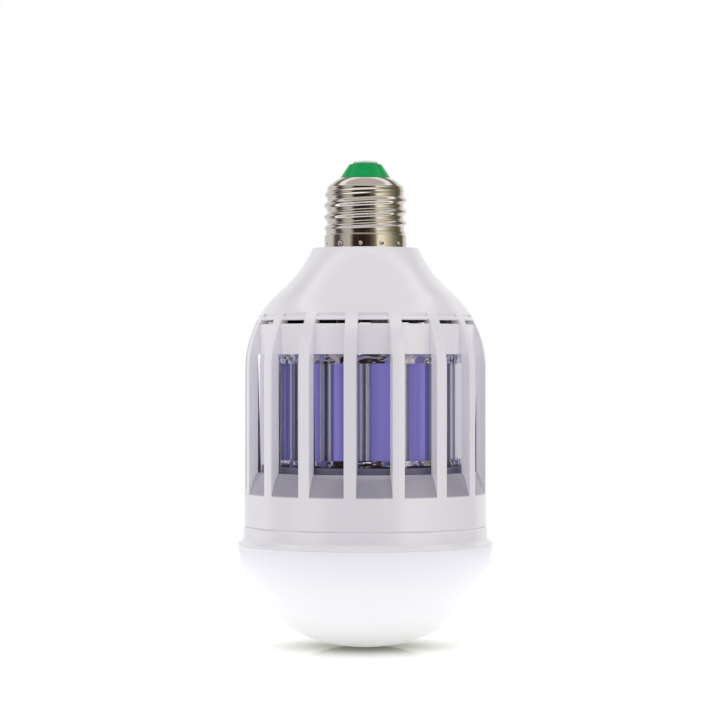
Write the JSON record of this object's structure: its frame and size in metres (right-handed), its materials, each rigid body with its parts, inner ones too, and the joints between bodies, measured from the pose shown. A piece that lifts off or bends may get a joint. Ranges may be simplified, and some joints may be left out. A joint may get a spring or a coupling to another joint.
{
  "type": "insect killer light bulb",
  "caption": "Screw-cap bulb with a white barred cage round an electrode grid and a glowing violet column, over a milky lamp dome.",
  "frame": {"origin": "middle of the centre contact's face, where the lamp meets its holder", "axes": "+Z along the bulb's axis, from the dome to the screw cap; one cage bar lies on -Y"},
  "size_m": [0.0804, 0.0804, 0.1537],
  "materials": {
    "nickel_plate": "nickel-plated formed brass, bright",
    "green_insulator": "glossy green moulding",
    "contact_metal": "tinned, slightly domed",
    "red_lead": "PVC insulation",
    "black_lead": "PVC insulation",
    "white_plastic": "white moulded, soft gloss",
    "screw_steel": "zinc plated",
    "board_green": "solder mask",
    "capacitor_sleeve": "shrink sleeve",
    "copper_winding": "enamelled copper",
    "black_epoxy": "moulded epoxy",
    "electrode_steel": "polished steel",
    "violet_tube": "tinted clear tube, lit from inside",
    "board_white": "white solder mask",
    "uv_lamp": "ultraviolet lamp, lit",
    "heat_plate_aluminium": "stamped sheet",
    "white_lamp": "phosphor over white lamps",
    "milky_dome": "milky moulded diffuser, satin"
  },
  "bodies": {
    "root": {"screw_shell": "nickel_plate", "cap_insulator": "green_insulator", "centre_contact": "contact_metal", "contact_lead": "red_lead", "shell_lead": "black_lead", "cage_housing": "white_plastic", "upper_plate": "white_plastic", "upper_plate_screws": "screw_steel", "driver_board": "board_green", "reservoir_capacitor": "capacitor_sleeve", "step_up_coil": "copper_winding", "driver_chips": "black_epoxy", "high_voltage_module": "black_epoxy", "grid_leads": "red_lead", "upper_bus_ring": "electrode_steel", "lower_bus_ring": "electrode_steel", "live_electrodes": "electrode_steel", "return_electrodes": "electrode_steel", "lure_tube": "violet_tube", "uv_board": "board_white", "uv_lamps": "uv_lamp", "lower_plate": "white_plastic", "lamp_leads": "red_lead", "base_ring": "white_plastic", "heat_plate": "heat_plate_aluminium", "lamp_board": "board_white", "white_lamps": "white_lamp", "heat_plate_screws": "screw_steel", "diffuser_dome": "milky_dome"}
  },
  "joints": []
}
